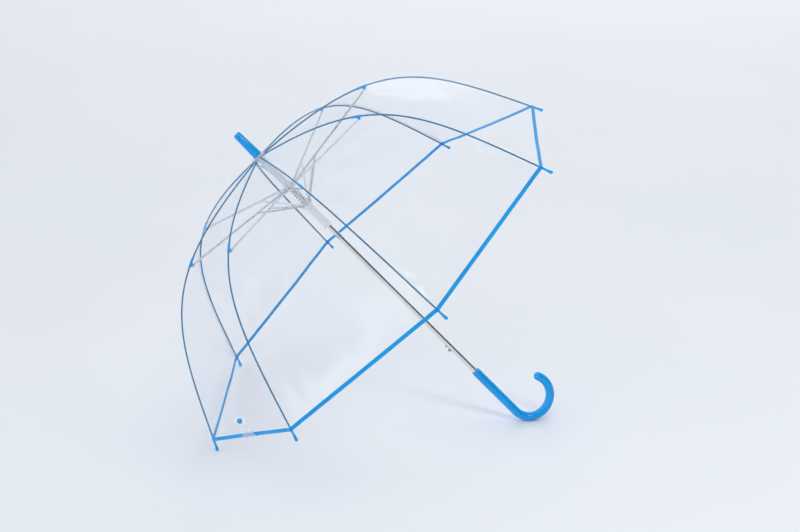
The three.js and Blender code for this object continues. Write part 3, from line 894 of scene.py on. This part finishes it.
def ribbed(start, end, radius, pitch=3.1, height=0.35):
    """Fine moulded rings along a sleeve."""
    points = []
    depth = start
    while depth + pitch <= end:
        crest = radius + height
        points += [(radius, depth), (crest, depth + pitch * 0.25), (crest, depth + pitch * 0.5),
                   (radius, depth + pitch * 0.75)]
        depth += pitch
    points.append((radius, end))
    return points


BORE = SHAFT_RADIUS + 0.25
CROWN_RING = RIB_LINE[0][0]
CROWN_RADIUS = 10.8
CROWN_END = 8
HUB_RADIUS = 12.4
RUNNER_RADIUS = 12.0
NOTCH_HALF = 4                    # half the height of the hub's and runner's notched discs
NECK_RADIUS = 6.55
SLEEVE_RADIUS = 7.8
COLLAR_RADIUS = 8.8
WIRE_RADIUS = 0.5

crown_profile = softened(
    [(BORE, CROWN_TOP)] + groove(0, 3, CROWN_RADIUS, CROWN_RING)
    + [(7, 4), (7, CROWN_END), (BORE, CROWN_END)], 0.35)
crown_slots = slots(6.4, 2.8, 0, CROWN_TOP - 1, CROWN_END - 0.5)
crown_mesh = cut_mesh("crown_disc", turned("crown_disc", crown_profile), crown_slots)
finish_piece("crown_disc", crown_mesh, MILKY, "stick", ("crown_notch",))

hub_profile = softened(
    [(BORE, 8.4)] + ribbed(8.4, HUB_AT - 9, NECK_RADIUS) + [(10.4, HUB_AT - NOTCH_HALF)]
    + groove(HUB_AT, NOTCH_HALF, HUB_RADIUS, HINGE_RING) + [(BORE, HUB_AT + NOTCH_HALF)], 0.3)
hub_slots = slots(6.6, 5.0, 2.3, HUB_AT - 9.5, HUB_AT + 5)
hub_mesh = cut_mesh("hub_slider_body", turned("hub_slider_body", hub_profile), hub_slots)
finish_piece("hub_slider_body", hub_mesh, MILKY, "hub_slider", ("hub",))

runner_end = RUNNER_AT + RUNNER_LENGTH
runner_profile = softened(
    [(BORE, RUNNER_AT - NOTCH_HALF)] + groove(RUNNER_AT, NOTCH_HALF, RUNNER_RADIUS, HINGE_RING)
    + [(8.9, RUNNER_AT + 6)] + ribbed(RUNNER_AT + 10, RUNNER_AT + 36, 7.5)
    + [(SLEEVE_RADIUS, RUNNER_AT + 38), (SLEEVE_RADIUS, runner_end - 4), (COLLAR_RADIUS, runner_end - 2.6)]
    + [(COLLAR_RADIUS, runner_end), (BORE, runner_end)], 0.4)
catch_azimuth = math.pi
window = box_mesh("window", catch_azimuth, at(catch_azimuth, 9, RUNNER_AT + 53.2), (8, 3.6, 7.6))
runner_slots = slots(7.2, 2.8, STRUT_SIDE, RUNNER_AT - 5, RUNNER_AT + 5)
runner_mesh = cut_mesh("runner_sleeve", turned("runner_sleeve", runner_profile), runner_slots + [window])
finish_piece("runner_sleeve", runner_mesh, MILKY, "runner_slider", ("runner",))


def wire_ring(name, radius, depth, body):
    points = [at(2 * math.pi * j / 96, radius, depth) for j in range(96)]
    ring = tube(name, points, WIRE_RADIUS * MM, 10, closed=True)
    finish_piece(name, ring, ZINC, body)


wire_ring("crown_wire", CROWN_RING, 0, "stick")
wire_ring("hub_wire", HINGE_RING, HUB_AT, "hub_slider")
wire_ring("runner_wire", HINGE_RING, RUNNER_AT, "runner_slider")


# ---- opening spring ----
SPRING_RADIUS = 6.4
SPRING_WIRE = 0.55


def spring_mesh():
    turns, steps = 6, 26
    first, last = HUB_AT + 5, RUNNER_AT - 5
    points = []
    for i in range(turns * steps + 1):
        share = i / (turns * steps)
        points.append(at(2 * math.pi * turns * share - HALF, SPRING_RADIUS, first + (last - first) * share))
    return tube("opening_coil", points, SPRING_WIRE * MM, 10)


coil = finish_piece("opening_coil", spring_mesh(), DARK_STEEL, "hub_slider", ("opening_spring",))
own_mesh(coil)


# ---- stick ----
SHAFT_BORE = 4.2
SHAFT_RINGS = 65
FERRULE_TIP = -60
FERRULE_ROUND = 2.6
FERRULE_SOCKET = -29.6
FERRULE_MOUTH = -5.05

shaft_profile = [(SHAFT_BORE, SHAFT_TOP)]
for i in range(SHAFT_RINGS + 1):
    shaft_profile.append((SHAFT_RADIUS, SHAFT_TOP + (SHAFT_END - SHAFT_TOP) * i / SHAFT_RINGS))
shaft_profile.append((SHAFT_BORE, SHAFT_END))
slot_tool = box_mesh("catch_slot", catch_azimuth, at(catch_azimuth, SHAFT_RADIUS, CATCH_AT + 4), (10, 3, 22))
shaft_mesh = cut_mesh("steel_stick", turned("steel_stick", shaft_profile, 72), [slot_tool])
finish_piece("steel_stick", shaft_mesh, CHROME, "stick", ("shaft",))

ferrule_profile = [(0, FERRULE_SOCKET), (0, FERRULE_TIP)]
for i in range(7):
    angle = math.pi / 2 * i / 6
    depth = FERRULE_TIP + FERRULE_ROUND - FERRULE_ROUND * math.cos(angle)
    ferrule_profile.append((4.4 + FERRULE_ROUND * math.sin(angle), depth))
ferrule_profile += [(8.45, -12), (8.3, -11.4), (8.5, -10.8), (8.8, -5.6), (8.5, FERRULE_MOUTH)]
ferrule_profile += [(BORE, FERRULE_MOUTH), (BORE, FERRULE_SOCKET)]
ferrule_mesh = turned("ferrule_spike", ferrule_profile, 72)
finish_piece("ferrule_spike", ferrule_mesh, PLASTIC, "stick", ("ferrule",))
cap_profile = softened([(BORE, -4.9), (9.2, -4.9), (9.8, -4.2), (9.6, -3.75), (BORE, -3.75)], 0.25)
cap_mesh = turned("crown_washer", cap_profile)
finish_piece("crown_washer", cap_mesh, MILKY, "stick", ("crown_cap",))


# ---- crook handle ----
def handle_mesh():
    """A round grip, bent to a crook, with a stepped mouth at the shaft and a rounded end."""
    straight = HOOK_START - HANDLE_TOP
    total = straight + HOOK_RADIUS * HOOK_SWEEP
    stations = []
    stations += [(0, 6.2), (0.0, 7.2), (0.3, 7.75), (0.9, 8.05), (2.6, 8.1), (3.1, 7.75), (3.5, 7.7)]
    stations += [(3.9, 7.8), (4.4, 8.25), (6, HANDLE_RADIUS)]
    steps = 96
    for i in range(1, steps + 1):
        stations.append((6 + (total - 6) * i / steps, HANDLE_RADIUS))
    for i in range(1, 13):
        angle = math.pi / 2 * i / 12
        radius = max(HANDLE_RADIUS * math.cos(angle), 0.05)
        stations.append((total + HANDLE_RADIUS * math.sin(angle), radius))
    end_way = (math.sin(HOOK_SWEEP), math.cos(HOOK_SWEEP))
    end_point = (HOOK_RADIUS * (1 - end_way[1]), HOOK_START + HOOK_RADIUS * end_way[0])
    points = []
    for place, _ in stations:
        if place <= straight:
            spot = (0.0, HANDLE_TOP + place)
        elif place <= total:
            angle = (place - straight) / HOOK_RADIUS
            spot = (HOOK_RADIUS * (1 - math.cos(angle)), HOOK_START + HOOK_RADIUS * math.sin(angle))
        else:
            spot = tuple(end_point[a] + end_way[a] * (place - total) for a in (0, 1))
        points.append(at(0, *spot))
    count = len(points)
    across = out(math.pi / 2)
    sides = 48
    vertices = []
    for i in range(count):
        way = points[min(i + 1, count - 1)] - points[max(i - 1, 0)]
        tangent = way.normalized() if way.length > 1e-7 else down
        up = tangent.cross(across).normalized()
        for x, y in circle(stations[i][1], sides):
            vertices.append(points[i] + (across * x + up * y) * MM)
    grip = solid_of("crook_handle", vertices, count, sides)
    socket = [(0, HANDLE_TOP - 3), (BORE, HANDLE_TOP - 3), (BORE, SHAFT_END + 0.5), (0, SHAFT_END + 0.5)]
    return cut_mesh("crook_handle", grip, [turned("socket", socket, 48)])


finish_piece("crook_handle", handle_mesh(), PLASTIC, "stick", ("handle",), sharp=40)


# ---- catch ----
def catch_mesh():
    leaf = 3.2
    outline = [
        (leaf - 0.9, -30), (leaf, -30), (leaf, -5), (6.9, -1.7), (7.2, -1.2), (7.2, 0.8), (6.9, 1.1),
        (leaf + 0.6, 1.4), (leaf + 0.6, 6.8), (8.2, 7), (8.7, 7.5), (8.9, 9.4), (8.7, 11), (8.2, 12),
        (leaf, 13), (leaf, 40), (leaf - 0.9, 40),
    ]
    origin = at(catch_azimuth, 0, CATCH_AT)
    return plate("catch_leaf_spring", outline, origin, out(catch_azimuth), down, 2.2, 0.18)


finish_piece("catch_leaf_spring", catch_mesh(), DARK_STEEL, "catch_leaf", ("catch",))

# ---- closing strap and snap ----
STRAP_GORE = 4
STRAP_SHIFT = 3.0                 # toward rib 5
STRAP_WIDTH = 22.0
STRAP_BASE = 57.0                 # it flares where it is sewn into the binding
STRAP_LENGTH = 45.0
STRAP_TAIL = 12.8                 # inside the binding
STRAP_TURN = 4.3                  # round the binding's edge
SNAP_RISE = 34.0


def strap_frame(rise, shift):
    """A point on the strap's gore, rise up from the rim and shift toward rib 5, with its axes."""
    v = shift / (rib_point(1.0 - rise / RIM_REACH)[0] * SIN_HALF)
    return rim_frame(STRAP_GORE, v, rise)


def strap_twist(rise):
    """The free end turns on its length, away from rib 5, and lifts off the film."""
    share = min(1.0, max(0.0, (rise - 9) / 26))
    return math.radians(44) * share * share * (3 - 2 * share)


def twisted_strap(rise, twist):
    point, along, normal = strap_frame(rise, STRAP_SHIFT)
    across = along.cross(normal).normalized()
    if across.dot(out(gore_azimuth(STRAP_GORE) + math.pi / 2)) < 0:
        across = -across
    point = point + normal * STRAP_WIDTH / 2 * math.sin(twist) * MM
    turned_across = across * math.cos(twist) + normal * math.sin(twist)
    turned_normal = normal * math.cos(twist) - across * math.sin(twist)
    return point, along, turned_normal, turned_across


def strap_width(rise):
    return STRAP_WIDTH + (STRAP_BASE - STRAP_WIDTH) * math.exp(-((rise / 9.0) ** 2))


def strap_mesh():
    """A clear strip doubled at the binding: it runs up the outside, and its short tail up the inside."""
    stations = []
    for i in range(25):
        share = i / 24
        rise = STRAP_LENGTH * (1 - share)
        curl = 0.9 * math.sin(math.pi * share * 1.5) ** 2 + 2.2 * (1 - share) ** 6
        stations.append((rise, 1.0 + curl))
    stations += [(-0.9, 0.9), (-1.6, 0.2), (-1.6, -0.4), (-0.9, -1.0)]
    for i in range(1, 9):
        stations.append((i * 1.6, -1.05 - 0.15 * math.sin(i)))
    columns = 14
    vertices = []
    for rise, stand in stations:
        twist = strap_twist(rise) if stand > 0 else 0.0
        for j in range(columns + 1):
            offset = strap_width(max(rise, 0.0)) * (j / columns - 0.5)
            corner = 2.4 if rise > 41 else 0.0
            edge = max(0.0, abs(j / columns - 0.5) * 2 - 0.7) / 0.3
            lifted = rise - corner * edge ** 2
            if twist:
                point, along, normal, across = twisted_strap(max(lifted, 0.0), twist)
                point = point + across * offset * MM
            else:
                point, along, normal = strap_frame(max(lifted, 0.0), STRAP_SHIFT + offset)
            point = point + along * max(0.0, -lifted) * MM
            vertices.append(point + normal * (stand + 0.25 * edge * (1 if stand > 0 else -1)) * MM)
    return sheet_mesh("strap_strip", vertices, grid_faces(len(stations) - 1, columns))


strap_body = f"gore_side_{STRAP_GORE}"
strap_nodes = ("closing_strap",)
strip = finish_piece("strap_strip", strap_mesh(), STRAP, strap_body, strap_nodes, sharp=60)
strap_area = pattern_area(strap_width, STRAP_LENGTH) + pattern_area(strap_width, STRAP_TAIL)
strap_area += STRAP_BASE * STRAP_TURN * MM * MM


def snap_piece(name, stand, profile, replaced):
    point, along, normal, across = twisted_strap(SNAP_RISE, strap_twist(SNAP_RISE))
    sides = 40
    vertices = []
    for radius, height in profile:
        for x, y in circle(radius, sides):
            vertices.append(point + (along * x + across * y + normal * (stand + height)) * MM)
    mesh = solid_of(name, vertices, len(profile), sides)
    finish_piece(name, mesh, PLASTIC, strap_body, replaced)


button = [(4.9, 0), (5.0, 0.4), (4.7, 0.9), (3.9, 1.2), (3.5, 1.15), (3.1, 1.0), (2.6, 1.0),
          (2.0, 1.25), (1.0, 1.4), (0.1, 1.42)]
socket = [(4.4, 0), (4.5, -0.35), (4.1, -0.8), (2.6, -0.85), (2.3, -1.9), (1.9, -2.15), (0.1, -2.2)]
snap_piece("snap_button", 1.3, button, ("snap_cap",))
snap_piece("snap_socket", -0.4, socket, ("snap_stud",))


# ---- studio: pale sweep, soft lights ----
def studio_material():
    made, tree, shader = new_material("studio_paper")
    drift = noise_node(tree, 1.4)
    tint = ramp(tree, drift.outputs["Fac"], (0.86, 0.885, 0.935, 1), (0.88, 0.90, 0.945, 1))
    tree.links.new(tint.outputs["Color"], shader.inputs["Base Color"])
    shader.inputs["Roughness"].default_value = 0.75
    return made


def sweep_backdrop():
    """A floor that curves up into a wall far behind, wide enough for every view."""
    size, rings, segments = 14.0, 40, 72
    vertices = []
    for i in range(rings + 1):
        radius = size * i / rings
        rise = max(0.0, radius - 8.0) ** 2 * 0.07
        for j in range(segments):
            angle = 2 * math.pi * j / segments
            vertices.append(Vector((radius * math.cos(angle), radius * math.sin(angle), rise)))
    mesh = mesh_of("studio_floor", vertices, ring_faces(rings + 1, segments))
    mesh.materials.append(studio_material())
    mesh.shade_smooth()
    placed("studio_floor", mesh)


sweep_backdrop()


def area_light(name, place, aim, size, power, colour=(1, 1, 1)):
    data = bpy.data.lights.new(name, "AREA")
    data.shape = "RECTANGLE"
    data.size, data.size_y = size
    data.energy = power
    data.color = colour
    light = placed(name, data)
    light.location = place
    light.visible_camera = False
    light.rotation_euler = (Vector(aim) - Vector(place)).to_track_quat("-Z", "Y").to_euler()


area_light("key_softbox", (2.14, -1.75, 2.5), (0, 0, 0.4), (0.9, 0.8), 18, (1.0, 0.99, 0.97))
area_light("over_softbox", (0.44, -1.2, 2.5), (0.25, 0, 0.1), (0.6, 0.5), 5)
area_light("fill_softbox", (-2.8, -1.2, 2.0), (0, 0, 0.3), (1.2, 1.2), 3.5, (0.94, 0.97, 1.0))
area_light("far_softbox", (0.4, 6.0, 3.4), (0.3, 5.0, 0), (4.0, 2.4), 62)
area_light("left_strip", (-1.75, -2.6, 0.75), (-0.2, -0.2, 0.2), (0.06, 1.3), 3)


def studio_air():
    """Even pale air, with one unlit corner of the studio that the bright metal mirrors as a dark stripe."""
    world = bpy.data.worlds.new("studio_air")
    world.use_nodes = True
    tree = world.node_tree
    sky = tree.nodes["Background"]
    sky.inputs["Strength"].default_value = 0.96
    place = tree.nodes.new("ShaderNodeTexCoord")
    dark_way = tree.nodes.new("ShaderNodeVectorMath")
    dark_way.operation = "DOT_PRODUCT"
    dark_way.inputs[1].default_value = Vector((0.75, -0.55, 0.36)).normalized()
    tree.links.new(place.outputs["Generated"], dark_way.inputs[0])
    nearness = tree.nodes.new("ShaderNodeMapRange")
    nearness.interpolation_type = "SMOOTHSTEP"
    nearness.inputs["From Min"].default_value = 0.62
    nearness.inputs["From Max"].default_value = 0.72
    tree.links.new(dark_way.outputs["Value"], nearness.inputs["Value"])
    tint = ramp(tree, nearness.outputs["Result"], (0.95, 0.975, 1.0, 1), (0.05, 0.06, 0.08, 1), 0.0, 1.0)
    tree.links.new(tint.outputs["Color"], sky.inputs["Color"])
    bpy.context.scene.world = world


studio_air()
bpy.context.scene.view_settings.view_transform = "Standard"
bpy.context.scene.view_settings.look = "None"

# ---- camera ----
CAMERA_PLACE = Vector((0.0882, -2.6235, 1.4811))
CAMERA_AHEAD = Vector((-0.01615, 0.91359, -0.40631))
CAMERA_ROLL = math.radians(2.38)
camera_data = bpy.data.cameras.new("camera")
camera_data.lens = 69.7
camera_data.sensor_width = 36
camera = placed("camera", camera_data)
level = CAMERA_AHEAD.to_track_quat("-Z", "Y")
camera.rotation_mode = "QUATERNION"
camera.rotation_quaternion = level @ Quaternion((0, 0, 1), CAMERA_ROLL)
camera.location = CAMERA_PLACE
bpy.context.scene.camera = camera
